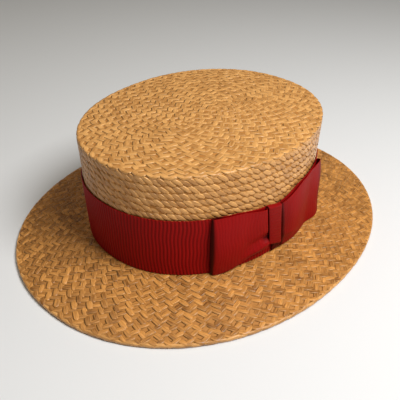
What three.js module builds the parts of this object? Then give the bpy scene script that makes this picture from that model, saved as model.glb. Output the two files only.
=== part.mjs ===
import * as THREE from 'three';

// A straw boater in millimetres. The table is at z = 0 and the origin is under the middle of the hat.
// The face side looks along -Y, and the bow is on the +X side, over the wearer's left ear.
// Lengths run front to back along Y, and widths run side to side along X.

// Brim
const BRIM_LENGTH = 328.5;
const BRIM_WIDTH = 276.8;
const BRIM_RISE = 10.4;          // top of the brim where the crown stands on it
const BRIM_RIM_HEIGHT = 3.2;     // top of the brim at its outer rim
const BRIM_WALL = 3;
const RIM_DOUBLING = 7;          // width of the flat, doubled ring that rests on the table
const RIM_ROUND = 0.8;

// Crown
const CROWN_FOOT_LENGTH = 203.3;
const CROWN_FOOT_WIDTH = 168.7;
const CROWN_TOP_LENGTH = 207.9;
const CROWN_TOP_WIDTH = 171.6;
const CROWN_HEIGHT = 84.2;       // from the brim's top to the crown's flat top
const CROWN_WALL = 2.2;
const CROWN_EDGE_ROUND = 2.4;
const CROWN_FOLD_CHAMFER = 0.6;  // inside the crown, where the side meets the top
const CROWN_BACK_FULLNESS = 1.7; // extra half width at the back of the crown's top

// Ribbon
const RIBBON_WALL = 1;
const BAND_HEIGHT = 49.2;

// Bow
const BOW_ANGLE = -12;           // direction of the knot's middle, in degrees from +X towards +Y
const KNOT_WIDTH = 13;
const KNOT_HEIGHT = 39;
const KNOT_ROUND = 0.6;
const KNOT_TUCK = 4;             // how far each loop reaches in under the knot
const FRONT_LOOP_LENGTH = 52.5;  // from the knot's middle to the fold at the loop's end
const FRONT_LOOP_DEPTH = 5;      // depth of the loop at its fold
const FRONT_LOOP_GATHER = 8;     // how far the lower edge is drawn up at the knot
const BACK_LOOP_LENGTH = 72;
const BACK_LOOP_DEPTH = 5.6;
const BACK_LOOP_GATHER = 3;
const GATHER_REACH = 24;         // how far from the knot the lower edge is drawn up
const TOP_GATHER = 5;            // how far the ribbon's upper edge is drawn down at the knot
const TOP_GATHER_REACH = 28;

// Shared
const OVAL_POWER = 2.1;          // 2 is an ellipse, more is squarer
const SEAT_GAP = 0.3;            // clearance between two pieces that lie on each other
const SIDES = 96;
const ROUND_STEPS = 3;
const LOOP_STEPS = 14;
const FOLD_STEPS = 8;

const crownFoot = BRIM_RISE + SEAT_GAP;
const crownTop = BRIM_RISE + CROWN_HEIGHT;
const bandFoot = BRIM_RISE + SEAT_GAP;
const bandTop = bandFoot + BAND_HEIGHT;
const knotTop = bandTop - TOP_GATHER + RIBBON_WALL;
const knotFoot = knotTop - KNOT_HEIGHT;
const loopSeat = SEAT_GAP + RIBBON_WALL + SEAT_GAP;
const loopRoot = 2 * RIBBON_WALL;
const knotSeat = loopSeat + loopRoot + SEAT_GAP;

// The crown's outer size at a height: it widens evenly from its foot to its top
function crownSize(height) {
  const share = (height - crownFoot) / (crownTop - crownFoot);
  return {
    width: THREE.MathUtils.lerp(CROWN_FOOT_WIDTH, CROWN_TOP_WIDTH, share),
    length: THREE.MathUtils.lerp(CROWN_FOOT_LENGTH, CROWN_TOP_LENGTH, share),
    fullness: CROWN_BACK_FULLNESS * share,
  };
}

// A level of the crown, so far outside its outer face, or inside it where out is negative
function crownLevel(height, out) {
  const size = crownSize(height);
  return { ...size, width: size.width + 2 * out, length: size.length + 2 * out, height };
}

// A point of a level's oval, in the direction that angle gives
function ovalPoint(level, angle) {
  const halfWidth = level.width / 2;
  const halfLength = level.length / 2;
  if (halfWidth === 0) return new THREE.Vector2(0, 0);
  const across = Math.abs(Math.cos(angle) / halfWidth) ** OVAL_POWER;
  const along = Math.abs(Math.sin(angle) / halfLength) ** OVAL_POWER;
  const reach = (across + along) ** (-1 / OVAL_POWER);
  const y = reach * Math.sin(angle);
  const widening = 1 + ((level.fullness ?? 0) / halfWidth) * (y / halfLength);
  return new THREE.Vector2(reach * Math.cos(angle) * widening, y);
}

// Turns a section of levels round the Z axis, and presses each level from a circle to its oval
function ovalTurn(levels) {
  const section = levels.map((level) => new THREE.Vector2(level.width / 2, level.height));
  const turned = new THREE.LatheGeometry(section, SIDES);
  const position = turned.attributes.position;
  for (let i = 0; i < position.count; i += 1) {
    const level = levels[i % levels.length];
    const side = Math.floor(i / levels.length) % SIDES;
    const point = ovalPoint(level, (2 * Math.PI * side) / SIDES);
    position.setXYZ(i, point.x, point.y, level.height);
  }
  turned.computeVertexNormals();
  return turned;
}

// The crown: a flat top, a small rounded edge and a straight side, open at the foot
function crownGeometry() {
  const insideTop = crownTop - CROWN_WALL;
  const levels = [
    { width: 0, length: 0, height: insideTop },
    crownLevel(insideTop, -CROWN_WALL - CROWN_FOLD_CHAMFER),
    crownLevel(insideTop - CROWN_FOLD_CHAMFER, -CROWN_WALL),
    crownLevel(crownFoot, -CROWN_WALL),
    crownLevel(crownFoot, 0),
  ];
  for (let step = 0; step <= ROUND_STEPS; step += 1) {
    const turn = ((Math.PI / 2) * step) / ROUND_STEPS;
    const height = crownTop - CROWN_EDGE_ROUND * (1 - Math.sin(turn));
    levels.push(crownLevel(height, -CROWN_EDGE_ROUND * (1 - Math.cos(turn))));
  }
  levels.push({ width: 0, length: 0, height: crownTop });
  return ovalTurn(levels);
}

// A level of the brim: share runs from 0 at the crown's outer foot to 1 at the rim
function brimLevel(share, height) {
  return {
    width: THREE.MathUtils.lerp(CROWN_FOOT_WIDTH, BRIM_WIDTH, share),
    length: THREE.MathUtils.lerp(CROWN_FOOT_LENGTH, BRIM_LENGTH, share),
    height,
  };
}

// The brim: it slopes down from a level ledge under the crown's wall to a doubled flat rim
function brimGeometry() {
  const reach = (BRIM_WIDTH - CROWN_FOOT_WIDTH) / 2;
  const slopeAt = (share) => THREE.MathUtils.lerp(BRIM_RISE, BRIM_RIM_HEIGHT, share);
  const doubling = 1 - RIM_DOUBLING / reach;
  const doublingStart = 1 - (RIM_DOUBLING + BRIM_WALL) / reach;
  const rimEdge = 1 - RIM_ROUND / reach;
  const hole = crownLevel(crownFoot, -CROWN_WALL);
  const levels = [
    { ...hole, height: BRIM_RISE },
    { ...hole, height: BRIM_RISE - BRIM_WALL },
    brimLevel(doublingStart, slopeAt(doublingStart) - BRIM_WALL),
    brimLevel(doubling, 0),
    brimLevel(rimEdge, 0),
    brimLevel(1, RIM_ROUND),
    brimLevel(1, BRIM_RIM_HEIGHT - RIM_ROUND),
    brimLevel(rimEdge, slopeAt(rimEdge)),
    brimLevel(0, BRIM_RISE),
    { ...hole, height: BRIM_RISE },
  ];
  return ovalTurn(levels);
}

// The crown's outline at the foot of the band, starting at the middle of the knot
class CrownOutline extends THREE.Curve {
  getPoint(share, target = new THREE.Vector3()) {
    const angle = THREE.MathUtils.degToRad(BOW_ANGLE) + 2 * Math.PI * share;
    const point = ovalPoint(crownLevel(bandFoot, 0), angle);
    return target.set(point.x, point.y, 0);
  }
}

const crownOutline = new CrownOutline();

// A place beside the crown seen from above: distance runs from the knot's middle towards
// the face, and out is measured from the crown's side
function besideCrown(distance, out) {
  const share = THREE.MathUtils.euclideanModulo(-distance / crownOutline.getLength(), 1);
  const seat = crownOutline.getPointAt(share);
  const along = crownOutline.getTangentAt(share);
  return new THREE.Vector2(seat.x + along.y * out, seat.y - along.x * out);
}

// Distance of a place seen from above to the edge of the knot
function fromKnot(plan) {
  return plan.distanceTo(besideCrown(0, 0)) - KNOT_WIDTH / 2;
}

// How far the ribbon's upper edge is drawn down at a place seen from above
function topGather(plan) {
  return TOP_GATHER * (1 - THREE.MathUtils.smoothstep(fromKnot(plan), 0, TOP_GATHER_REACH));
}

// The ribbon round the crown, from the brim upwards, with its upper edge drawn down at the knot
function bandGeometry() {
  const inside = SEAT_GAP;
  const outside = SEAT_GAP + RIBBON_WALL;
  const band = ovalTurn([
    crownLevel(bandTop, inside),
    crownLevel(bandFoot, inside),
    crownLevel(bandFoot, outside),
    crownLevel(bandTop, outside),
    crownLevel(bandTop, inside),
  ]);
  const position = band.attributes.position;
  for (let i = 0; i < position.count; i += 1) {
    const plan = new THREE.Vector2(position.getX(i), position.getY(i));
    const atTop = position.getZ(i) > (bandFoot + bandTop) / 2;
    if (atTop) position.setZ(i, bandTop - topGather(plan));
  }
  band.computeVertexNormals();
  return band;
}

// Raises an upright wall from a plan outline, with an optional hollow, lift of its lower edge
// and drop of its upper edge, and leans it outwards as the crown's side leans
function uprightPiece({ outline, hollow, foot, height, lift, drop }) {
  const shape = new THREE.Shape(outline);
  if (hollow) shape.holes.push(new THREE.Path(hollow));
  const raised = new THREE.ExtrudeGeometry(shape, { depth: height, bevelEnabled: false });
  const position = raised.attributes.position;
  for (let i = 0; i < position.count; i += 1) {
    const plan = new THREE.Vector2(position.getX(i), position.getY(i));
    const atFoot = position.getZ(i) === 0;
    const lifted = atFoot ? (lift?.(plan) ?? 0) : height - (drop?.(plan) ?? 0);
    const level = crownSize(foot + lifted);
    const wider = level.width / CROWN_FOOT_WIDTH;
    const longer = level.length / CROWN_FOOT_LENGTH;
    const fuller = 1 + (level.fullness / level.width) * ((4 * plan.y) / level.length);
    position.setXYZ(i, plan.x * wider * fuller, plan.y * longer, foot + lifted);
  }
  raised.computeVertexNormals();
  return raised;
}

// Plan outline of a loop, inset by so much: narrow at the knot, round at the fold.
// side is 1 for the loop towards the face and -1 for the one towards the nape.
function loopOutline(loop, inset, firstStep) {
  const root = KNOT_WIDTH / 2 - KNOT_TUCK;
  const foldMiddle = loop.length - loop.depth / 2;
  const distanceAt = (step) => THREE.MathUtils.lerp(root, foldMiddle, step / LOOP_STEPS);
  const depthAt = (step) => {
    const share = THREE.MathUtils.smoothstep(distanceAt(step), KNOT_WIDTH / 2, foldMiddle);
    return THREE.MathUtils.lerp(loopRoot, loop.depth, share);
  };
  const place = (distance, out) => besideCrown(loop.side * distance, loopSeat + out);
  const points = [];
  for (let step = firstStep; step <= LOOP_STEPS; step += 1) {
    points.push(place(distanceAt(step), inset));
  }
  for (let step = 1; step < FOLD_STEPS; step += 1) {
    const turn = Math.PI * (step / FOLD_STEPS - 0.5);
    const radius = loop.depth / 2 - inset;
    points.push(place(foldMiddle + radius * Math.cos(turn), loop.depth / 2 + radius * Math.sin(turn)));
  }
  for (let step = LOOP_STEPS; step >= firstStep; step -= 1) {
    points.push(place(distanceAt(step), depthAt(step) - inset));
  }
  return loop.side > 0 ? points : points.reverse();
}

// A loop of the bow: one ribbon folded back on itself, open above and below,
// with its lower edge drawn up towards the knot
function loopGeometry(loop) {
  const lift = (plan) => {
    return loop.gather * (1 - THREE.MathUtils.smoothstep(fromKnot(plan), 0, GATHER_REACH));
  };
  return uprightPiece({
    outline: loopOutline(loop, 0, 0),
    hollow: loopOutline(loop, RIBBON_WALL, Math.round(LOOP_STEPS / 3)),
    foot: bandFoot,
    height: BAND_HEIGHT,
    lift,
    drop: topGather,
  });
}

// The knot: an upright strip over the roots of both loops
function knotGeometry() {
  const half = KNOT_WIDTH / 2;
  const inner = knotSeat;
  const outer = knotSeat + RIBBON_WALL;
  const section = [
    [-half, inner],
    [0, inner],
    [half, inner],
    [half, outer - KNOT_ROUND],
    [half - KNOT_ROUND, outer],
    [0, outer],
    [KNOT_ROUND - half, outer],
    [-half, outer - KNOT_ROUND],
  ];
  return uprightPiece({
    outline: section.map(([distance, out]) => besideCrown(distance, out)),
    foot: knotFoot,
    height: KNOT_HEIGHT,
  });
}

const strawColour = new THREE.Color(0xc9924f);
const ribbonColour = new THREE.Color(0x8e1518);

function addPiece(group, name, geometry, color, roughness) {
  const material = new THREE.MeshStandardMaterial({ color, roughness, metalness: 0 });
  const piece = new THREE.Mesh(geometry, material);
  piece.name = name;
  group.add(piece);
}

const frontLoop = {
  side: 1,
  length: FRONT_LOOP_LENGTH,
  depth: FRONT_LOOP_DEPTH,
  gather: FRONT_LOOP_GATHER,
};
const backLoop = {
  side: -1,
  length: BACK_LOOP_LENGTH,
  depth: BACK_LOOP_DEPTH,
  gather: BACK_LOOP_GATHER,
};

const boater = new THREE.Group();
addPiece(boater, 'crown', crownGeometry(), strawColour, 0.45);
addPiece(boater, 'brim', brimGeometry(), strawColour, 0.45);
addPiece(boater, 'hat_band', bandGeometry(), ribbonColour, 0.7);
addPiece(boater, 'bow_front_loop', loopGeometry(frontLoop), ribbonColour, 0.7);
addPiece(boater, 'bow_back_loop', loopGeometry(backLoop), ribbonColour, 0.7);
addPiece(boater, 'bow_knot', knotGeometry(), ribbonColour, 0.7);

export default boater;
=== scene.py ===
"""The looks of a straw boater: sewn rows of plaited straw, and a ribbed ribbon with a flat bow.

Sizes are in metres. The origin is on the table under the middle of the hat, the face side
looks along -Y, and the bow is on the +X side.
"""

import math

import bpy
import numpy as np
from mathutils import Matrix, Vector


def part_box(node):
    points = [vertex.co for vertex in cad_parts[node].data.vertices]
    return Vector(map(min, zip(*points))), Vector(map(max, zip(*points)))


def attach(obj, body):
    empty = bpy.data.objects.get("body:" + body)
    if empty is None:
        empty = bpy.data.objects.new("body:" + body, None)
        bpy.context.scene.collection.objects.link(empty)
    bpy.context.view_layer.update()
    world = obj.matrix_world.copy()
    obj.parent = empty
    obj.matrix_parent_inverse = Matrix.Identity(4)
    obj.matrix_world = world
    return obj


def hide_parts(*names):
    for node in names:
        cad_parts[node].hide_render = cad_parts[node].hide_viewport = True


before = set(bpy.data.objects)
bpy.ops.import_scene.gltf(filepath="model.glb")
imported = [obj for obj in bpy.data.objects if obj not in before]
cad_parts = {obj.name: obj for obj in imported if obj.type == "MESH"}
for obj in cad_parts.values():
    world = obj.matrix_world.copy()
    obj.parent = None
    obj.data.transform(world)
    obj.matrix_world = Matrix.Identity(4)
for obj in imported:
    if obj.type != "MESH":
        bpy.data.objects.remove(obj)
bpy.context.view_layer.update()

# The hat's ovals, as widths across and lengths front to back, and its section
CROWN_FOOT_WIDTH, CROWN_FOOT_LENGTH = 0.1687, 0.2033
CROWN_TOP_WIDTH, CROWN_TOP_LENGTH = 0.1716, 0.2079
CROWN_BACK_FULLNESS = 0.0017      # extra half width at the back of the crown's top
CROWN_FOLD = 0.0014               # rounding between the crown's top and its side
CROWN_WALL = 0.0022
BRIM_WALL = 0.003
BRIM_RISE = 0.0104                # top of the brim where the crown stands on it
BRIM_RIM_HEIGHT = 0.0032
RIM_DOUBLING = 0.007              # the flat ring that rests on the table
RIM_ROUND = 0.0008
INNER_ROUND = 0.001               # of the section's inner corners
MIDDLE_GAP = 0.0001               # half the slit that the innermost row leaves open
OVAL_POWER = 2.1                  # 2 is an ellipse, more is squarer
OVAL_POINTS = 1441                # of one row's line
ROUND_POINTS = 7                  # of one rounding of the section
SLOPE_STEP = 0.0004               # to either side, where the section's slope is measured

# The plait
STITCH = 0.010                    # from one pair of straws in a row to the next
ROW = 0.0053                      # from one sewn row to the next
STRAW_LENGTH = 0.0096
STRAW_WIDTH = 0.0048
STRAW_ARCH = math.radians(12)     # how far a straw bends over, end to end
STRAW_CROWN = math.radians(18)    # and across its width
STRAW_TAPER = 0.25                # how much narrower its ends are, as a share
TAPER_POWER = 3
CORE_DEPTH = 0.0003               # the straws underneath, below the outer ones
EDGE_OVERHANG = 0.0008            # how far the top's last row comes down over the crown's side

# How far the straws differ by chance
LEAN_SPREAD = 0.05                # in radians
LENGTH_SPREAD, WIDTH_SPREAD = 0.04, 0.06    # as shares
HEIGHT_SPREAD = 0.00005
SHIFT_SPREAD = 0.00015            # across their row
PLACE_SPREAD = 0.0002             # along it
FIBRE_STRETCH = 400               # of the fibre pattern, from which each straw takes its own part


class Weave:
    """How the straws of a surface lie, in pairs that follow each other along a row."""

    def __init__(self, leans, lengths, widths, low, shifts, tilt, relief):
        self.leans = np.radians(leans)    # between each straw of a pair and its row
        self.lengths = lengths            # of the two straws, as shares of the modelled one
        self.widths = widths
        self.low = low                    # how much lower the second one lies
        self.shifts = shifts              # of the two, up from the middle of their row
        self.tilt = math.radians(tilt)    # each row's outer edge lies over the next row
        self.relief = relief              # of a straw, as a share of the modelled one


SIDE_WEAVE = Weave(
    leans=(-34, -31), lengths=(1.02, 1.00), widths=(0.80, 0.78), low=0.00004,
    shifts=(0.0003, -0.0003), tilt=2.5, relief=1.05,
)
TOP_WEAVE = Weave(
    leans=(-37, 37), lengths=(1.06, 1.06), widths=(0.98, 1.08), low=0.00005,
    shifts=(0.0006, -0.0007), tilt=1.5, relief=1.35,
)
BRIM_WEAVE = Weave(
    leans=(38, -38), lengths=(0.98, 0.98), widths=(0.90, 0.96), low=0.00003,
    shifts=(0.0009, -0.0010), tilt=2, relief=1.25,
)
UNDER_WEAVE = Weave(
    leans=(38, -38), lengths=(1.04, 1.04), widths=(0.96, 1.02), low=0.00003,
    shifts=(0.0009, -0.0010), tilt=1.0, relief=0.7,
)
INSIDE_WEAVE = Weave(
    leans=(-34, -31), lengths=(1.02, 1.00), widths=(0.84, 0.82), low=0.00004,
    shifts=(0.0003, -0.0003), tilt=1.5, relief=0.6,
)
RIM_WEAVE = Weave(
    leans=(12, -12), lengths=(1.15, 1.15), widths=(0.85, 0.85), low=0.00003,
    shifts=(0.0003, -0.0003), tilt=0, relief=1,
)

# The ribbon
BAND_WIDTH = 0.0492
RIBBON = 0.0005                   # thickness
RIB = 0.0026                      # from one rib of the weave to the next
RIB_RELIEF = 0.00042
LOOP_RIBS = 0.25                  # how much of that relief is left where the bow is pulled smooth
RIB_SWAY = 0.0011                 # how far the ribs wander from upright
SWAY_SHARES = (0.7, 0.45)         # of that, in slow and in quick waves
SLOW_WAVES, QUICK_WAVES = (105, 61), (290, 47)  # across and along the ribbon, in radians a metre
STRENGTH_WAVE = 23                # along it, in which the sway itself grows and shrinks
SWAY_STRENGTH = (0.65, 0.35)      # its mean and its change
RIB_STEPS = 6                     # mesh steps over one rib
BAND_STEPS, LOOP_STEPS, KNOT_STEPS = 22, 26, 20     # mesh steps over the width
BAND_SEAT = 0.0008                # from the crown's side to the middle of the band's thickness
TOP_GATHERS = (0.0028, 0.0055)    # how far its upper edge is drawn down at the knot, face and nape
TOP_GATHER_REACH = 0.028
EDGE_CURVE = 1.5                  # how fast such a shift dies away from the ribbon's edge

# The bow, measured along the band from the middle of its knot
BOW_ANGLE = math.radians(-12)
KNOT_WIDTH = 0.013
KNOT_HEIGHT = 0.0375
KNOT_FOOT = 0.0088                # from the band's lower edge up to the knot's
KNOT_OUT = 0.0048                 # from the crown's side to the knot's face
KNOT_SHIFT = 0.0015               # how far its middle lies towards the nape
KNOT_LEAN = 0.0063                # and how much further below than above, over the band's width
KNOT_TOP_SKEW = 0.0027            # how much lower its top is towards the nape
KNOT_FOOT_SKEW = 0.0055           # and its foot
KNOT_TUCK = 0.004                 # how far each loop reaches in under the knot
KNOT_ROUND = 0.0011               # of its turns over the loops' edges
KNOT_WAIST = 0.05                 # how much narrower its middle is, as a share
KNOT_BULGE = 0.0005               # how far its middle stands out over its sides
KNOT_SINK = 0.0004                # how far its sides lie in
FOLD_SQUARENESS = 0.75            # 1 folds a loop's end round, less folds it squarer
LOOP_SEAT = 0.0018                # from the crown's side to the loops' inner layers
LOOP_ROOT = 0.0009                # depth of a loop where the knot holds it
LEAN_START = 0.02                 # from the knot to where a loop's end begins to lean
FLANK_REACH = 0.014               # how much of a loop's end slopes


class Loop:
    """A loop of the bow; side is 1 towards the face and -1 towards the nape."""

    def __init__(self, side, length, depths, opens, gather, reach, lean, rise, flank):
        self.side = side
        self.length = length      # from the knot's middle to the fold at the loop's end
        self.depths = depths      # of its fold at its lower edge, middle and upper edge
        self.opens = opens        # where it begins to open, and where it has its full depth
        self.gather = gather      # how far its lower edge is drawn up at the knot
        self.reach = reach        # how far from the knot that edge is drawn in
        self.lean = lean          # how much further its lower corner reaches than its upper one
        self.rise = rise          # of its upper edge over the band's, at its end
        self.flank = flank        # slope of its end, as its run over its height


FRONT_LOOP = Loop(
    side=1, length=0.0525, depths=(0.0026, 0.0054, 0.0020), opens=(0.0045, 0.0465),
    gather=0.0095, reach=0.040, lean=0, rise=0.0012, flank=0.55,
)
BACK_LOOP = Loop(
    side=-1, length=0.0715, depths=(0.0068, 0.0050, 0.0030), opens=(0.048, 0.068),
    gather=0.0015, reach=0.030, lean=0.006, rise=0.003, flank=0,
)


class Crease:
    """A soft crease of a loop; its ends are distances from the knot's edge and heights up."""

    def __init__(self, start, end, size, height):
        self.start = start
        self.end = end
        self.size = size          # half its width
        self.height = height      # below 0 for a hollow, and for a shade its darkness


FRONT_SWELL = 0.0020
FRONT_SWELL_START, FRONT_SWELL_END = (0.0003, 0.0015), (0.003, 0.020)
FRONT_FOLD = Crease((-0.002, 0.0158), (0.029, 0.0072), size=0.0022, height=0.0017)
FRONT_HOLE = Crease((-0.001, 0.0202), (0.009, 0.0200), size=0.0024, height=-0.0060)
FRONT_HOLLOW = Crease((0.002, 0.0215), (0.026, 0.0170), size=0.0028, height=-0.0010)
# The next two are painted shade laid out like creases: a dark hole at the knot's lower corner, and
# shade below the fold beside it
PAINTED_HOLE_SHADE = Crease((-0.004, 0.0194), (0.008, 0.0186), size=0.0020, height=1.3)
PAINTED_FOLD_FOOT_SHADE = Crease((0.004, 0.0045), (0.030, 0.0010), size=0.0022, height=0.5)
BACK_SWELLS = (0.0022, 0.0014)    # at the knot's edge, and what it gains beside it
BACK_SWELL_STARTS, BACK_SWELL_END = ((0.0005, 0.0014), (0.0014, 0.014)), (0.016, 0.045)
BACK_SWELL_EDGE = 0.3             # share of the swell that is left at the ribbon's edges
BACK_FOLD = Crease((0.000, 0.0140), (0.026, 0.0080), size=0.0030, height=0.0006)
CREASE_START = 0.003              # over which a crease rises, to either side of its start
CREASE_FADE = 0.4                 # share of its length after which it dies away

# How dark the ribbon is painted in its folds, as painted shade, from 0 to 1
ROOT_SHADE = 0.8                  # of a loop beside the knot
ROOT_REACH = (0.0003, 0.0017)     # from the knot's edge, where that shade is full and where it ends
END_REACH = (0.012, 0.007)        # from the fold at a loop's end, where the shade in it grows
END_DEPTHS = (0.72, 0.97)         # shares of the loop's depth between which it dies away
BACK_ROOT_SHADES = (0.6, 0.3)     # what the loop towards the nape has beside the knot and further
BACK_ROOT_REACHES = ((0.0018, 0.0038), (0.003, 0.014))
BACK_END_SHADE = 0.4
BACK_END_REACH = (0.055, 0.060)
KNOT_SHADE, KNOT_EDGE_SHADE = 0.18, 0.6     # of the whole knot, and what its sides add
KNOT_EDGE = (0.90, 0.99)          # where they do, as shares of its half width

# The camera, from the photograph's outlines
CAMERA_PLACE = (0.25425, -0.27976, 0.27073)
CAMERA_AZIMUTH = math.radians(42.628)
CAMERA_ELEVATION = math.radians(34.531)
CAMERA_ROLL = math.radians(0.153)
CAMERA_LENS = 46.81

rng = np.random.default_rng(1907)


# Ovals and the hat's section


def oval(half_width, half_length, fullness, angle):
    """Points of a level's oval in the directions that angle gives."""
    across = np.abs(np.cos(angle) / half_width) ** OVAL_POWER
    along = np.abs(np.sin(angle) / half_length) ** OVAL_POWER
    reach = (across + along) ** (-1 / OVAL_POWER)
    y = reach * np.sin(angle)
    x = reach * np.cos(angle) * (1 + fullness / half_width * y / half_length)
    return x, y


class Section:
    """Half of the hat cut through: stations of half width, half length, height and fullness.

    It is measured by the distance s along it, and each straw row is a level of it.
    """

    def __init__(self, corners, rounds):
        stations = [np.array(corners[0])]
        for i in range(1, len(corners) - 1):
            before, corner, after = (np.array(corners[j]) for j in (i - 1, i, i + 1))
            start = corner + (before - corner) * rounds[i] / self.gap(before, corner)
            end = corner + (after - corner) * rounds[i] / self.gap(after, corner)
            for t in np.linspace(0, 1, ROUND_POINTS):
                stations.append((1 - t) ** 2 * start + 2 * t * (1 - t) * corner + t * t * end)
        stations.append(np.array(corners[-1]))
        self.stations = np.array(stations)
        steps = [self.gap(a, b) for a, b in zip(stations[:-1], stations[1:])]
        self.s = np.concatenate([[0], np.cumsum(steps)])
        self.length = self.s[-1]

    @staticmethod
    def gap(a, b):
        """The distance between two stations, with the reach as the mean of width and length."""
        return math.hypot((a[0] + a[1] - b[0] - b[1]) / 2, a[2] - b[2])

    def at(self, s):
        """Half width, half length, height and fullness at s, run on straight past the ends."""
        s = np.asarray(s, dtype=float)
        inside = np.clip(s, 0, self.length)
        found = [np.interp(inside, self.s, self.stations[:, i]) for i in range(4)]
        for i in range(3):
            first = (self.stations[1, i] - self.stations[0, i]) / (self.s[1] - self.s[0])
            last = (self.stations[-1, i] - self.stations[-2, i]) / (self.s[-1] - self.s[-2])
            found[i] = found[i] + np.where(s < 0, s * first, 0)
            found[i] = found[i] + np.where(s > self.length, (s - self.length) * last, 0)
        return found


class Row:
    """One sewn row of the plait: a closed line round the hat, and the surface beside it."""

    def __init__(self, section, s):
        self.section, self.s = section, s
        level = [float(value) for value in section.at(s)]
        self.half_width, self.half_length, self.height, fullness = level
        angle = np.linspace(0, 2 * math.pi, OVAL_POINTS)
        self.x, self.y = oval(self.half_width, self.half_length, fullness, angle)
        self.t = np.concatenate([[0], np.cumsum(np.hypot(np.diff(self.x), np.diff(self.y)))])
        self.length = self.t[-1]
        tangent_x = np.gradient(self.x, self.t)
        tangent_y = np.gradient(self.y, self.t)
        self.normal_x, self.normal_y = tangent_y, -tangent_x

    def place(self, along, up, out):
        """World points for distances along the row, up towards the crown's middle, and outwards."""
        t = np.mod(along, self.length)
        x, y = np.interp(t, self.t, self.x), np.interp(t, self.t, self.y)
        nx, ny = np.interp(t, self.t, self.normal_x), np.interp(t, self.t, self.normal_y)
        size = np.hypot(nx, ny)
        nx, ny = nx / size, ny / size
        s = self.s - up
        steps = (-SLOPE_STEP, 0, SLOPE_STEP)
        spread = [self.spread(s + step, nx, ny) for step in steps]
        heights = [self.section.at(s + step)[2] for step in steps]
        spreading = (spread[2] - spread[0]) / (2 * SLOPE_STEP)
        rising = (heights[2] - heights[0]) / (2 * SLOPE_STEP)
        size = np.hypot(spreading, rising)
        lift_out, lift_up = -rising / size, spreading / size
        reach = spread[1] + out * lift_out
        return np.stack([x + reach * nx, y + reach * ny, heights[1] + out * lift_up], axis=-1)

    def along(self, direction):
        """Distance along the row to the place in this direction from the hat's middle."""
        angles = np.unwrap(np.arctan2(self.y, self.x))
        return float(np.interp(direction % (2 * math.pi), angles, self.t))

    def spread(self, s, nx, ny):
        """How far the level at s lies outside this row, along its normal seen from above."""
        half_width, half_length = self.section.at(s)[:2]
        across, along = self.half_width * nx**2, self.half_length * ny**2
        support = np.sqrt(self.half_width**2 * nx**2 + self.half_length**2 * ny**2)
        wider, longer = half_width - self.half_width, half_length - self.half_length
        return (across * wider + along * longer) / support


def hat_section():
    """The hat's outside from the middle of its top, over the brim and in to the crown's ceiling."""
    crown_low, crown_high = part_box("crown")
    brim_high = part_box("brim")[1]
    top, foot = crown_high.z, crown_low.z
    top_width, top_length = CROWN_TOP_WIDTH / 2, CROWN_TOP_LENGTH / 2
    foot_width, foot_length = CROWN_FOOT_WIDTH / 2, CROWN_FOOT_LENGTH / 2
    rim_width, rim_length = brim_high.x, brim_high.y
    slit = top_length - top_width
    full = CROWN_BACK_FULLNESS
    outside = [
        (MIDDLE_GAP, slit, top, 0),
        (top_width, top_length, top, full),
        (foot_width, foot_length, foot, 0),
    ]
    doubling = RIM_DOUBLING + BRIM_WALL
    slope = (BRIM_RISE - BRIM_RIM_HEIGHT) / (rim_width - foot_width)
    brim = [
        (foot_width, foot_length, BRIM_RISE, 0),
        (rim_width, rim_length, BRIM_RIM_HEIGHT, 0),
        (rim_width, rim_length, 0, 0),
        (rim_width - RIM_DOUBLING, rim_length - RIM_DOUBLING, 0, 0),
        (
            rim_width - doubling,
            rim_length - doubling,
            BRIM_RIM_HEIGHT + slope * doubling - BRIM_WALL,
            0,
        ),
        (foot_width - CROWN_WALL, foot_length - CROWN_WALL, BRIM_RISE - BRIM_WALL, 0),
    ]
    ceiling = top - CROWN_WALL
    inside = [
        (foot_width - CROWN_WALL, foot_length - CROWN_WALL, BRIM_RISE - BRIM_WALL, 0),
        (top_width - CROWN_WALL, top_length - CROWN_WALL, ceiling, full),
        (MIDDLE_GAP, slit, ceiling, 0),
    ]
    return (
        Section(outside, [0, CROWN_FOLD, 0]),
        Section(brim, [0, RIM_ROUND, RIM_ROUND, INNER_ROUND, INNER_ROUND, 0]),
        Section(inside, [0, INNER_ROUND, 0]),
    )


crown_section, brim_section, inside_section = hat_section()


# Modelling helpers


def clear_selection():
    """Leaves nothing selected, so that an operator acts on its own piece alone."""
    if bpy.context.object and bpy.context.object.mode != "OBJECT":
        bpy.ops.object.mode_set(mode="OBJECT")
    bpy.ops.object.select_all(action="DESELECT")


def pick(piece):
    """Selects one piece and makes it the active one."""
    clear_selection()
    piece.select_set(True)
    bpy.context.view_layer.objects.active = piece


def apply_modifiers(piece):
    """Applies the piece's modifiers in order."""
    pick(piece)
    for modifier in list(piece.modifiers):
        bpy.ops.object.modifier_apply(modifier=modifier.name)


def points_of(piece):
    """The piece's vertices as an array of rows."""
    points = np.empty(3 * len(piece.data.vertices))
    piece.data.vertices.foreach_get("co", points)
    return points.reshape(-1, 3)


def move_points(piece, points):
    """Puts the piece's vertices at these places."""
    piece.data.vertices.foreach_set("co", np.ascontiguousarray(points, dtype=float).ravel())
    piece.data.update()


def face_out(piece):
    """Turns all of a closed piece's faces outwards."""
    pick(piece)
    bpy.ops.object.mode_set(mode="EDIT")
    bpy.ops.mesh.select_all(action="SELECT")
    bpy.ops.mesh.normals_make_consistent(inside=False)
    bpy.ops.object.mode_set(mode="OBJECT")


# The straws


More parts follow.
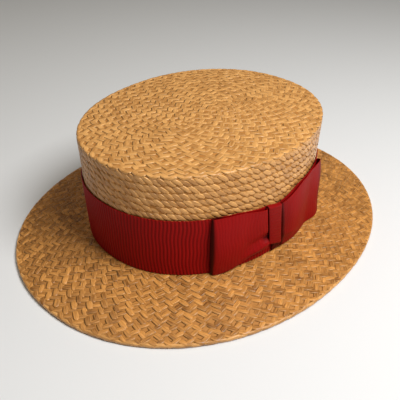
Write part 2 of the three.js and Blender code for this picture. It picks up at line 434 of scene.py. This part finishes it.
def model_straw():
    """One straw where it shows between two crossings: arched, crowned and closed underneath."""
    clear_selection()
    bpy.ops.mesh.primitive_grid_add(x_subdivisions=6, y_subdivisions=4, size=1)
    straw = bpy.context.object
    straw.name = "straw"
    straw.scale = (STRAW_LENGTH, STRAW_WIDTH, 1)
    straw.rotation_euler.x = math.radians(90)
    bpy.ops.object.transform_apply(scale=True, rotation=True)
    bpy.ops.object.mode_set(mode="EDIT")
    bpy.ops.mesh.select_all(action="DESELECT")
    bpy.ops.mesh.select_mode(type="EDGE")
    bpy.ops.mesh.select_non_manifold()
    bpy.ops.mesh.edge_face_add()
    bpy.ops.object.mode_set(mode="OBJECT")
    for name, axis, turn in (("arch", "Z", STRAW_ARCH), ("crowning", "X", STRAW_CROWN)):
        bend = straw.modifiers.new(name, "SIMPLE_DEFORM")
        bend.deform_method = "BEND"
        bend.deform_axis = axis
        bend.angle = turn
    apply_modifiers(straw)
    straw.rotation_euler.x = math.radians(-90)
    bpy.ops.object.transform_apply(rotation=True)
    face_out(straw)
    return straw


def taper_straw(points):
    """Narrows a straw towards its ends, where it goes under its neighbours."""
    along = np.abs(points[:, 0]) / (STRAW_LENGTH / 2)
    points = points.copy()
    points[:, 1] *= 1 - STRAW_TAPER * along**TAPER_POWER
    points[:, 2] -= points[:, 2].max()
    return points


def lay_straws(name, section, rows, weave):
    """Joins copies of the straw into the rows of one surface, laid along the section's rows."""
    pattern_points = taper_straw(points_of(straw))
    faces = [tuple(face.vertices) for face in straw.data.polygons]
    arched = [len(face) == 4 for face in faces]     # all but the flat one underneath
    count = len(pattern_points)
    points, tones, across, along = [], [], [], []
    for s in rows:
        row = Row(section, s)
        stitches = round(row.length / STITCH)
        stitch = row.length / stitches
        drift = rng.uniform(0, stitch)
        for j in range(stitches):
            for second in (0, 1):
                turn = weave.leans[second] + rng.normal(0, LEAN_SPREAD)
                a = pattern_points[:, 0] * weave.lengths[second] * rng.normal(1, LENGTH_SPREAD)
                b = pattern_points[:, 1] * weave.widths[second] * rng.normal(1, WIDTH_SPREAD)
                out = pattern_points[:, 2] * weave.relief - second * weave.low
                out = out + rng.normal(0, HEIGHT_SPREAD)
                u = a * math.cos(turn) - b * math.sin(turn)
                w = a * math.sin(turn) + b * math.cos(turn)
                w = w + weave.shifts[second] + rng.normal(0, SHIFT_SPREAD)
                out = out - w * math.tan(weave.tilt)
                middle = drift + (j + 0.5 * second) * stitch + rng.normal(0, PLACE_SPREAD)
                points.append(row.place(middle + u, w, out))
                tones.append(rng.uniform(0, 1))
                along.append(a / STRAW_LENGTH + rng.uniform(0, FIBRE_STRETCH))
                across.append(b / STRAW_WIDTH)
    total = len(points)
    mesh = bpy.data.meshes.new(name)
    all_points = np.concatenate(points)
    all_faces = [tuple(v + i * count for v in face) for i in range(total) for face in faces]
    mesh.from_pydata(all_points.tolist(), [], all_faces)
    tone = mesh.attributes.new("straw_tone", "FLOAT", "FACE")
    tone.data.foreach_set("value", np.repeat(tones, len(faces)))
    uv = mesh.uv_layers.new(name="along_straw")
    corners = np.empty(len(mesh.loops), dtype=np.int64)
    mesh.loops.foreach_get("vertex_index", corners)
    flat = np.stack([np.concatenate(along)[corners], np.concatenate(across)[corners]], axis=1)
    uv.data.foreach_set("uv", flat.ravel())
    mesh.polygons.foreach_set("use_smooth", arched * total)
    piece = bpy.data.objects.new(name, mesh)
    bpy.context.scene.collection.objects.link(piece)
    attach(piece, "root")
    return piece


def model_core(name, node):
    """The under straws of a wall, just below the outer ones: the wall itself, drawn in evenly."""
    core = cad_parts[node].copy()
    core.data = core.data.copy()
    core.name = core.data.name = name
    core.parent = None
    bpy.context.scene.collection.objects.link(core)
    pick(core)
    bpy.ops.object.mode_set(mode="EDIT")
    bpy.ops.mesh.select_all(action="SELECT")
    bpy.ops.mesh.remove_doubles(threshold=0.00001)
    bpy.ops.object.mode_set(mode="OBJECT")
    draw_in = core.modifiers.new("draw_in", "DISPLACE")
    draw_in.mid_level = 0
    draw_in.strength = -CORE_DEPTH
    apply_modifiers(core)
    bpy.ops.object.shade_smooth_by_angle(angle=math.radians(40))
    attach(core, "root")
    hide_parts(node)
    return core


# The ribbon and its bow


def ease(value, first, last):
    """Goes smoothly from 0 at first to 1 at last."""
    share = np.clip((value - first) / (last - first), 0, 1)
    return share * share * (3 - 2 * share)


def rib_relief(along, across):
    """Height of the ribbon's ribs; along runs down the ribbon, and the ribs cross it."""
    strength = SWAY_STRENGTH[0] + SWAY_STRENGTH[1] * np.sin(along * STRENGTH_WAVE + 1.0)
    slow = np.sin(across * SLOW_WAVES[0] + 0.9 * np.sin(along * SLOW_WAVES[1]))
    quick = np.sin(across * QUICK_WAVES[0] + along * QUICK_WAVES[1])
    sway = RIB_SWAY * strength * (SWAY_SHARES[0] * slow + SWAY_SHARES[1] * quick)
    return RIB_RELIEF / 2 * np.cos(2 * math.pi * (along + sway) / RIB)


def cut_ribbon(name, length, width, steps_across, folded, relief, shade=None):
    """A flat length of ribbon, folded into its place by folded(along, across).

    Relief is the share of the ribs' height that is left, and shade(along, across) is 1 where
    the ribbon is painted dark as shade inside a fold.
    """
    steps_along = round(length / RIB) * RIB_STEPS
    clear_selection()
    bpy.ops.mesh.primitive_grid_add(
        x_subdivisions=steps_along, y_subdivisions=steps_across, size=1
    )
    piece = bpy.context.object
    piece.name = piece.data.name = name
    piece.data.uv_layers[0].name = "flat_ribbon"
    flat = (points_of(piece)[:, :2] + 0.5) * (length, width)
    move_points(piece, folded(flat[:, 0], flat[:, 1]))
    height = piece.data.attributes.new("rib_height", "FLOAT", "POINT")
    ribs_here = 0.5 + relief * rib_relief(flat[:, 0], flat[:, 1]) / RIB_RELIEF
    height.data.foreach_set("value", ribs_here)
    # Painted shade inside the ribbon's folds, kept on the mesh for its material
    dark = piece.data.attributes.new("painted_fold_shade", "FLOAT", "POINT")
    if shade:
        dark.data.foreach_set("value", shade(flat[:, 0], flat[:, 1]))
    corners = np.empty(len(piece.data.loops), dtype=np.int64)
    piece.data.loops.foreach_get("vertex_index", corners)
    piece.data.uv_layers[0].data.foreach_set("uv", flat[corners].ravel())
    return piece


def finish_ribbon(piece, node):
    pick(piece)
    bpy.ops.object.mode_set(mode="EDIT")
    bpy.ops.mesh.select_all(action="SELECT")
    bpy.ops.mesh.remove_doubles(threshold=0.000005)
    bpy.ops.object.mode_set(mode="OBJECT")
    wall = piece.modifiers.new("thickness", "SOLIDIFY")
    wall.thickness = RIBBON
    wall.offset = 0
    apply_modifiers(piece)
    face_out(piece)
    bpy.ops.object.shade_smooth_by_angle(angle=math.radians(50))
    piece.data.materials.append(red_grosgrain)
    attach(piece, "root")
    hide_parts(node)


def make_band():
    """The ribbon round the crown, its ends sewn together under the bow."""
    length, width = band_row.length, BAND_WIDTH

    def folded(along, across):
        towards_face = np.mod(knot_at - along + length / 2, length) - length / 2
        height = across + edge_shift(across / width, 0, top_gather(towards_face))
        out = BAND_SEAT + rib_relief(along, across)
        return band_row.place(along, band_foot + height - band_row.height, out)

    piece = cut_ribbon("ribbon_band", length, width, BAND_STEPS, folded, relief=1)
    finish_ribbon(piece, "hat_band")


def top_gather(towards_face):
    """How far the ribbon's upper edge is drawn down, at a distance from the middle of the knot."""
    half = KNOT_WIDTH / 2
    depth = TOP_GATHERS[1] + (TOP_GATHERS[0] - TOP_GATHERS[1]) * ease(towards_face, -half, half)
    return depth * (1 - ease(np.abs(towards_face), half, half + TOP_GATHER_REACH))


def edge_shift(level, lift, drop):
    """Vertical shift of the ribbon where its lower edge is lifted and its upper edge dropped."""
    return lift * (1 - level) ** EDGE_CURVE - drop * level**EDGE_CURVE


def knot_middle(up):
    """How far towards the nape the knot's middle lies, so high above the band's lower edge."""
    return KNOT_SHIFT - KNOT_LEAN * (up / BAND_WIDTH - 0.5)


def loop_path(loop, along, level):
    """Distance from the knot, height above the loop's seat and share of its depth.

    They are for places along the folded ribbon, at a level from its lower to its upper edge.
    """
    low, middle, high = loop.depths
    side = np.where(level < 0.5, low, high)
    depth = middle + (side - middle) * np.abs(2 * level - 1) ** 2
    root = KNOT_WIDTH / 2 - KNOT_TUCK
    straight = loop.length - middle / 2 - root
    turn = math.pi * middle / 2
    outer = np.clip(along, 0, straight)
    bent = np.clip((along - straight) / turn, 0, 1) * math.pi
    inner = np.clip(along - straight - turn, 0, None)
    round_out = np.clip(np.sin(bent), 0, 1) ** FOLD_SQUARENESS
    round_down = np.sign(np.cos(bent)) * np.abs(np.cos(bent)) ** FOLD_SQUARENESS
    distance = root + outer - inner + depth / 2 * round_out
    leaning = loop.lean * (level - 0.5) * ease(distance, LEAN_START, loop.length)
    distance = distance - leaning
    share = np.where(along < straight + turn, (1 + round_down) / 2, 0)
    opened = ease(distance, *loop.opens)
    height = share * (LOOP_ROOT + (depth - LOOP_ROOT) * opened)
    sloped = ease(distance, loop.length - FLANK_REACH, loop.length)
    distance = distance - loop.flank * height * sloped
    return distance, height, share


def make_loop(name, node, loop, creases, painted_shades):
    """One loop of the bow: the ribbon goes out over itself, folds and comes back."""
    width = BAND_WIDTH
    depth = loop.depths[1]
    length = 2 * (loop.length - depth / 2 - KNOT_WIDTH / 2 + KNOT_TUCK) + math.pi * depth / 2

    def lie(along, across):
        level = across / width
        distance, height, share = loop_path(loop, along, level)
        lift = loop.gather * (1 - ease(distance, KNOT_WIDTH / 2, KNOT_WIDTH / 2 + loop.reach))
        rise = loop.rise * level * ease(distance, 0, loop.length)
        up = across + edge_shift(level, lift, top_gather(loop.side * distance)) + rise
        beyond_knot = distance - KNOT_WIDTH / 2 + loop.side * knot_middle(up)
        return distance, beyond_knot, up, share, height

    def folded(along, across):
        distance, beyond_knot, up, share, height = lie(along, across)
        raised = height + share * creases(beyond_knot, up, across / width)
        out = LOOP_SEAT + np.maximum(raised, share * LOOP_ROOT)
        out = out + LOOP_RIBS * rib_relief(along, across) * (2 * share - 1)
        return band_row.place(
            knot_at - loop.side * distance, band_foot + up - band_row.height, out
        )

    # Painted shade: in the turn at the loop's end, beside the knot, and in its hollows
    def shade(along, across):
        distance, beyond_knot, up, share, _ = lie(along, across)
        near_end = ease(distance, loop.length - END_REACH[0], loop.length - END_REACH[1])
        end = (1 - ease(share, *END_DEPTHS)) * near_end
        root = ROOT_SHADE * (1 - ease(beyond_knot, *ROOT_REACH))
        return np.clip(np.maximum(np.maximum(end, root), painted_shades(beyond_knot, up)), 0, 1)

    piece = cut_ribbon(name, length, width, LOOP_STEPS, folded, LOOP_RIBS, shade)
    finish_ribbon(piece, node)


def ridge(crease, beyond, up):
    """Height of a crease at distances from the knot's edge and heights up the ribbon."""
    run, rise = crease.end[0] - crease.start[0], crease.end[1] - crease.start[1]
    long = math.hypot(run, rise)
    along = ((beyond - crease.start[0]) * run + (up - crease.start[1]) * rise) / long
    aside = ((up - crease.start[1]) * run - (beyond - crease.start[0]) * rise) / long
    fade = ease(along, -CREASE_START, CREASE_START) * (1 - ease(along, CREASE_FADE * long, long))
    return crease.height * np.exp(-((aside / crease.size) ** 2)) * fade


def front_creases(beyond, up, level):
    """The swell and gathers of the loop towards the face, which start at the knot's edge."""
    swell = FRONT_SWELL * ease(beyond, *FRONT_SWELL_START) * (1 - ease(beyond, *FRONT_SWELL_END))
    fold = ridge(FRONT_FOLD, beyond, up)
    return swell + fold + ridge(FRONT_HOLE, beyond, up) + ridge(FRONT_HOLLOW, beyond, up)


def front_painted_shades(beyond, up):
    """Painted shade: the dark hole at the knot's lower corner, and the shade below the fold beside
    it.
    """
    return ridge(PAINTED_HOLE_SHADE, beyond, up) + ridge(PAINTED_FOLD_FOOT_SHADE, beyond, up)


def back_creases(beyond, up, level):
    """The swell and gathers of the loop towards the nape, fullest half way up."""
    full = BACK_SWELL_EDGE + (1 - BACK_SWELL_EDGE) * (1 - np.abs(2 * level - 1) ** 2)
    swell = sum(size * ease(beyond, *start) for size, start in zip(BACK_SWELLS, BACK_SWELL_STARTS))
    swell = swell * full * (1 - ease(beyond, *BACK_SWELL_END))
    return swell + ridge(BACK_FOLD, beyond, up)


def back_painted_shades(beyond, up):
    """Painted shade beside the knot and at the loop's far end, where it turns away from the light.
    """
    shades = zip(BACK_ROOT_SHADES, BACK_ROOT_REACHES)
    beside = sum(shade * (1 - ease(beyond, *reach)) for shade, reach in shades)
    return beside + BACK_END_SHADE * ease(beyond, *BACK_END_REACH)


def make_knot():
    """The strip over the loops' roots, turned in over their upper and lower edges."""
    turn = KNOT_OUT - BAND_SEAT - RIBBON
    face = KNOT_HEIGHT - 2 * KNOT_ROUND
    quarter = math.pi / 2 * KNOT_ROUND
    tail = turn - 2 * KNOT_ROUND
    length = face + 2 * (quarter + tail)

    def folded(along, across):
        middle = along - length / 2
        beyond = np.abs(middle) - face / 2
        bent = np.clip(beyond / quarter, 0, 1) * math.pi / 2
        back = np.clip(beyond - quarter, 0, None)
        up = np.sign(middle) * (np.minimum(np.abs(middle), face / 2) + KNOT_ROUND * np.sin(bent))
        out = KNOT_OUT - KNOT_ROUND * (1 - np.cos(bent)) - back
        aside = across - KNOT_WIDTH / 2
        waist = 1 - KNOT_WAIST * np.cos(math.pi * middle / length)
        bulge = KNOT_BULGE * (1 - (2 * aside / KNOT_WIDTH) ** 4) - KNOT_SINK
        out = out + bulge + LOOP_RIBS * rib_relief(along, across) * np.cos(bent)
        skew = KNOT_FOOT_SKEW + (KNOT_TOP_SKEW - KNOT_FOOT_SKEW) * (up / KNOT_HEIGHT + 0.5)
        up = KNOT_FOOT + KNOT_HEIGHT / 2 + up - skew * aside / KNOT_WIDTH
        place = knot_at + knot_middle(up) + aside * waist
        return band_row.place(place, band_foot + up - band_row.height, out)

    # Painted shade: the whole knot a little darker, and its sides darker still
    def shade(along, across):
        aside = np.abs(across / KNOT_WIDTH - 0.5) * 2
        return KNOT_SHADE + KNOT_EDGE_SHADE * ease(aside, *KNOT_EDGE)

    piece = cut_ribbon("bow_wrap", length, KNOT_WIDTH, KNOT_STEPS, folded, LOOP_RIBS, shade)
    finish_ribbon(piece, "bow_knot")


# Materials


FIBRE_SCALE = (1.1, 6, 1)         # of the fibre pattern, along and across a straw
FIBRE_RANGE = (0.3, 0.7)          # between its dark and its light
# Painted highlight along each straw's long edges: where it begins and is full, and how much of its
# colour it takes
HIGHLIGHT_EDGE_RANGE = (0.22, 0.46)         # from its middle, as shares of its width
HIGHLIGHT_EDGE_SHARE = 0.45                 # how much of the edge colour it takes there
STRAW_ROUGHNESS = (0.30, 0.46)    # in its dark and its light fibres
# Painted shade in the ribbon: how dark it is painted between its ribs and inside its folds
GROOVE_SHADE_SHARE = 0.50               # how dark the ribbon is between two ribs
FOLD_SHADE_SHARE = 0.88                 # and inside its folds
GRAIN_DEPTH = 0.0003              # relief of a straw's fibres
THREAD_DEPTH = 0.0002             # and of the ribbon's threads
THREAD_SCALE = (900, 2600, 1)     # of the ribbon's threads, along and across it


def new_group(name, inputs, outputs):
    """A shader node group with named sockets; returns it with its inner ends."""
    group = bpy.data.node_groups.new(name, "ShaderNodeTree")
    for socket, kind, value in inputs:
        made = group.interface.new_socket(socket, in_out="INPUT", socket_type=kind)
        made.default_value = value
    for socket, kind in outputs:
        group.interface.new_socket(socket, in_out="OUTPUT", socket_type=kind)
    return group, group.nodes.new("NodeGroupInput"), group.nodes.new("NodeGroupOutput")


def add_node(tree, kind, settings=(), links=()):
    """A node with its settings by name and its input values or links by socket."""
    node = tree.nodes.new(kind)
    for key, value in dict(settings).items():
        setattr(node, key, value)
    for key, value in dict(links).items():
        if isinstance(value, bpy.types.NodeSocket):
            tree.links.new(value, node.inputs[key])
        else:
            node.inputs[key].default_value = value
    return node


def mix(tree, factor, first, second):
    """A colour mix; each of the three may be a value or a socket."""
    links = {0: factor, 6: first, 7: second}
    return add_node(tree, "ShaderNodeMix", {"data_type": "RGBA"}, links).outputs[2]


def math_node(tree, operation, first, second=0.5):
    """A sum of two values or sockets, or of one where the sum needs no more."""
    links = {0: first, 1: second}
    return add_node(tree, "ShaderNodeMath", {"operation": operation}, links).outputs[0]


def map_range(tree, value, low, high, at_low, at_high):
    """Goes from at_low to at_high while the value goes from low to high."""
    links = {0: value, 1: low, 2: high, 3: at_low, 4: at_high}
    return add_node(tree, "ShaderNodeMapRange", {}, links).outputs[0]


def noise(tree, place, scale, dimensions="3D", **more):
    """A cloudy pattern from 0 to 1; more sets its other sockets by name."""
    links = {"Vector": place, "Scale": scale, **more}
    settings = {"noise_dimensions": dimensions}
    return add_node(tree, "ShaderNodeTexNoise", settings, links).outputs["Fac"]


def own_value(tree, name):
    """A value that the piece's mesh carries under this name."""
    return add_node(tree, "ShaderNodeAttribute", {"attribute_name": name}).outputs["Fac"]


def raise_surface(tree, shader, height, strength, distance):
    """Lets a fine pattern stand out in the shader's light."""
    links = {"Strength": strength, "Distance": distance, "Height": height}
    bump = add_node(tree, "ShaderNodeBump", {}, links)
    tree.links.new(bump.outputs[0], shader.inputs["Normal"])


def straw_group():
    """Colour, gloss and relief of one straw: long fibres, a tone of its own, and a painted
    highlight along its edges.
    """
    group, start, end = new_group(
        "straw_fibres",
        [
            ("Light Colour", "NodeSocketColor", (0.80, 0.50, 0.20, 1)),
            ("Dark Colour", "NodeSocketColor", (0.50, 0.25, 0.08, 1)),
            ("Edge Highlight Colour", "NodeSocketColor", (0.90, 0.60, 0.30, 1)),
        ],
        [
            ("Colour", "NodeSocketColor"),
            ("Roughness", "NodeSocketFloat"),
            ("Height", "NodeSocketFloat"),
        ],
    )
    uv = add_node(group, "ShaderNodeUVMap", {"uv_map": "along_straw"}).outputs[0]
    stretched = add_node(group, "ShaderNodeMapping", {}, {"Vector": uv, "Scale": FIBRE_SCALE})
    fibres = noise(
        group, stretched.outputs[0], scale=1.0, dimensions="2D", Detail=2.0, Roughness=0.6
    )
    own_tone = math_node(group, "MULTIPLY", own_value(group, "straw_tone"), 0.5)
    fibre_light = map_range(group, fibres, *FIBRE_RANGE, 0.0, 1.0)
    light = math_node(group, "ADD", own_tone, math_node(group, "MULTIPLY", fibre_light, 0.5))
    body = mix(group, light, start.outputs["Dark Colour"], start.outputs["Light Colour"])
    across = add_node(group, "ShaderNodeSeparateXYZ", {}, {0: uv}).outputs["Y"]
    from_middle = math_node(group, "ABSOLUTE", across)
    # Painted highlight: the straw's long edges are mixed towards a lighter colour
    edge = map_range(group, from_middle, *HIGHLIGHT_EDGE_RANGE, 0.0, HIGHLIGHT_EDGE_SHARE)
    colour = mix(group, edge, body, start.outputs["Edge Highlight Colour"])
    rough = map_range(group, fibres, *FIBRE_RANGE, *STRAW_ROUGHNESS)
    group.links.new(colour, end.inputs["Colour"])
    group.links.new(rough, end.inputs["Roughness"])
    group.links.new(fibres, end.inputs["Height"])
    return group


def new_material(name):
    """An empty material with its shader."""
    material = bpy.data.materials.new(name)
    material.use_nodes = True
    return material, material.node_tree, material.node_tree.nodes["Principled BSDF"]


def straw_material(name, light, dark, edge):
    """Varnished plaited straw."""
    material, tree, shader = new_material(name)
    fibres = add_node(tree, "ShaderNodeGroup", {"node_tree": straw_fibres})
    fibres.inputs["Light Colour"].default_value = light
    fibres.inputs["Dark Colour"].default_value = dark
    fibres.inputs["Edge Highlight Colour"].default_value = edge
    tree.links.new(fibres.outputs["Colour"], shader.inputs["Base Color"])
    tree.links.new(fibres.outputs["Roughness"], shader.inputs["Roughness"])
    raise_surface(tree, shader, fibres.outputs["Height"], strength=0.4, distance=GRAIN_DEPTH)
    shader.inputs["Specular IOR Level"].default_value = 0.35
    shader.inputs["Coat Weight"].default_value = 0.2
    shader.inputs["Coat Roughness"].default_value = 0.3
    return material


def core_material():
    """The under straws, seen only in the gaps, coloured darker than the outer straws as painted
    shade.
    """
    material, tree, shader = new_material("shaded_under_straw")
    place = add_node(tree, "ShaderNodeTexCoord").outputs["Object"]
    grain = noise(tree, place, scale=260.0, Detail=2.0)
    colour = mix(tree, grain, (0.36, 0.145, 0.034, 1), (0.50, 0.22, 0.056, 1))
    tree.links.new(colour, shader.inputs["Base Color"])
    raise_surface(tree, shader, grain, strength=0.5, distance=GRAIN_DEPTH)
    shader.inputs["Roughness"].default_value = 0.6
    shader.inputs["Specular IOR Level"].default_value = 0.1
    return material


def ribbon_material():
    """Deep red grosgrain, with painted shade between its ribs and in its folds."""
    material, tree, shader = new_material("red_grosgrain")
    place = add_node(tree, "ShaderNodeTexCoord").outputs["Object"]
    cloud = noise(tree, place, scale=60.0, Detail=3.0)
    body = mix(tree, cloud, (0.29, 0.0024, 0.0026, 1), (0.39, 0.0042, 0.0042, 1))
    # Painted shade between the ribs
    groove_shade = map_range(tree, own_value(tree, "rib_height"), 0.0, 1.0, GROOVE_SHADE_SHARE, 0.0)
    ribbed = mix(tree, groove_shade, body, (0.05, 0.0004, 0.0006, 1))
    # Painted shade inside the folds, at the loops' ends, beside the knot and in the hollow
    fold_shading = math_node(tree, "MULTIPLY", own_value(tree, "painted_fold_shade"), FOLD_SHADE_SHARE)
    colour = mix(tree, fold_shading, ribbed, (0.03, 0.0003, 0.0004, 1))
    tree.links.new(colour, shader.inputs["Base Color"])
    uv = add_node(tree, "ShaderNodeUVMap", {"uv_map": "flat_ribbon"}).outputs[0]
    threads = add_node(tree, "ShaderNodeMapping", {}, {"Vector": uv, "Scale": THREAD_SCALE})
    thread = noise(tree, threads.outputs[0], scale=1.0, dimensions="2D")
    raise_surface(tree, shader, thread, strength=0.25, distance=THREAD_DEPTH)
    shader.inputs["Roughness"].default_value = 0.5
    shader.inputs["Specular IOR Level"].default_value = 0.10
    return material


straw_fibres = straw_group()
# The third colour of each straw is its painted edge highlight
golden_straw = straw_material(
    "golden_straw", (0.80, 0.41, 0.126, 1), (0.36, 0.147, 0.031, 1), (0.86, 0.51, 0.20, 1)
)
amber_straw = straw_material(
    "amber_straw", (0.74, 0.330, 0.076, 1), (0.14, 0.046, 0.007, 1), (0.85, 0.46, 0.165, 1)
)
shaded_under_straw = core_material()
red_grosgrain = ribbon_material()


# The pieces


def rows_between(first, last):
    """Middles of evenly spaced rows, as near to a row's width as fills the stretch."""
    count = round((last - first) / ROW)
    step = (last - first) / count
    return [first + step * (i + 0.5) for i in range(count)]


straw = model_straw()

core_pieces = [model_core("crown_under_straws", "crown"), model_core("brim_under_straws", "brim")]
# The under straws are painted darker than the outer ones: painted shade in the gaps
for piece in core_pieces:
    piece.data.materials.clear()
    piece.data.materials.append(shaded_under_straw)

top_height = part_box("crown")[1].z
band_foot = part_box("hat_band")[0].z
fold_at = CROWN_TOP_WIDTH / 2
side_end = fold_at + top_height - band_foot - BAND_WIDTH + ROW
crown_top_rows = rows_between(0, fold_at + EDGE_OVERHANG)
crown_side_rows = rows_between(fold_at + EDGE_OVERHANG, side_end)
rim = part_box("brim")[1]
rim_at = (rim.x + rim.y - CROWN_FOOT_WIDTH / 2 - CROWN_FOOT_LENGTH / 2) / 2
brim_top_rows = rows_between(0, rim_at)
brim_bottom_rows = rows_between(rim_at + BRIM_RIM_HEIGHT, brim_section.length)
inside_rows = rows_between(0, inside_section.length)
wall_rows = [s for s in inside_rows if s < top_height - CROWN_WALL - BRIM_RISE + BRIM_WALL]
ceiling_rows = inside_rows[len(wall_rows):]

straw_pieces = [
    lay_straws("crown_top_straws", crown_section, crown_top_rows, TOP_WEAVE),
    lay_straws("crown_side_straws", crown_section, crown_side_rows, SIDE_WEAVE),
    lay_straws("brim_top_straws", brim_section, brim_top_rows, BRIM_WEAVE),
    lay_straws("brim_bottom_straws", brim_section, brim_bottom_rows, UNDER_WEAVE),
    lay_straws("rim_straws", brim_section, [rim_at + RIM_ROUND], RIM_WEAVE),
    lay_straws("crown_inside_straws", inside_section, wall_rows, INSIDE_WEAVE),
    lay_straws("crown_ceiling_straws", inside_section, ceiling_rows, TOP_WEAVE),
]
# The rim's row is not named as a brim piece, so it takes the lighter golden straw: a painted
# highlight along the rim
for piece in straw_pieces:
    on_brim = piece.name.startswith("brim_")
    piece.data.materials.append(amber_straw if on_brim else golden_straw)
bpy.data.objects.remove(straw)

band_row = Row(crown_section, fold_at + top_height - band_foot - BAND_WIDTH / 2)
knot_at = band_row.along(BOW_ANGLE)
make_band()
make_loop("loop_to_face", "bow_front_loop", FRONT_LOOP, front_creases, front_painted_shades)
make_loop("loop_to_nape", "bow_back_loop", BACK_LOOP, back_creases, back_painted_shades)
make_knot()


# Floor, light and camera


LIT_HEIGHT = 0.05                 # the lights look at the hat at this height
FLOOR_HEIGHT = -0.0002            # just below the straws on which the rim rests


def add_floor():
    """A plain pale table top."""
    clear_selection()
    bpy.ops.mesh.primitive_circle_add(
        vertices=96, radius=6, fill_type="NGON", location=(0, 0, FLOOR_HEIGHT)
    )
    floor = bpy.context.object
    floor.name = "floor"
    material, _, shader = new_material("pale_floor")
    shader.inputs["Base Color"].default_value = (0.72, 0.72, 0.71, 1)
    shader.inputs["Roughness"].default_value = 0.8
    floor.data.materials.append(material)


def add_light(name, azimuth, elevation, distance, size, power, colour):
    """A soft square light that looks at the hat; azimuth is in degrees from +X towards +Y."""
    light = bpy.data.lights.new(name, "AREA")
    light.size = size
    light.energy = power
    light.color = colour
    lamp = bpy.data.objects.new(name, light)
    bpy.context.scene.collection.objects.link(lamp)
    a, e = math.radians(azimuth), math.radians(elevation)
    back = Vector((math.cos(a) * math.cos(e), math.sin(a) * math.cos(e), math.sin(e)))
    lamp.location = Vector((0, 0, LIT_HEIGHT)) + back * distance
    lamp.rotation_mode = "QUATERNION"
    lamp.rotation_quaternion = (-back).to_track_quat("-Z", "Y")


def add_camera():
    """The photograph's view."""
    camera = bpy.data.objects.new("camera", bpy.data.cameras.new("camera"))
    bpy.context.scene.collection.objects.link(camera)
    camera.data.lens = CAMERA_LENS
    camera.data.sensor_width = 36
    a, e = CAMERA_AZIMUTH, CAMERA_ELEVATION
    back = Vector((math.sin(a) * math.cos(e), -math.cos(a) * math.cos(e), math.sin(e)))
    right = Vector((math.cos(a), math.sin(a), 0))
    up = back.cross(right)
    rolled_right = right * math.cos(CAMERA_ROLL) + up * math.sin(CAMERA_ROLL)
    rolled_up = up * math.cos(CAMERA_ROLL) - right * math.sin(CAMERA_ROLL)
    turn = Matrix((rolled_right, rolled_up, back)).transposed()
    camera.matrix_world = Matrix.Translation(CAMERA_PLACE) @ turn.to_4x4()
    bpy.context.scene.camera = camera


def add_world():
    """Even pale light from all round."""
    world = bpy.data.worlds.new("soft_room")
    world.use_nodes = True
    background = world.node_tree.nodes["Background"]
    background.inputs["Color"].default_value = (1.0, 0.93, 0.84, 1)
    background.inputs["Strength"].default_value = 0.08
    bpy.context.scene.world = world
    bpy.context.scene.view_settings.view_transform = "Standard"


add_floor()
add_light(
    "window", azimuth=7, elevation=54, distance=0.95, size=0.42, power=11.2,
    colour=(0.97, 0.98, 1),
)
add_light(
    "overhead", azimuth=200, elevation=78, distance=2, size=1.8, power=9.6,
    colour=(1, 0.93, 0.80),
)
add_camera()
add_world()
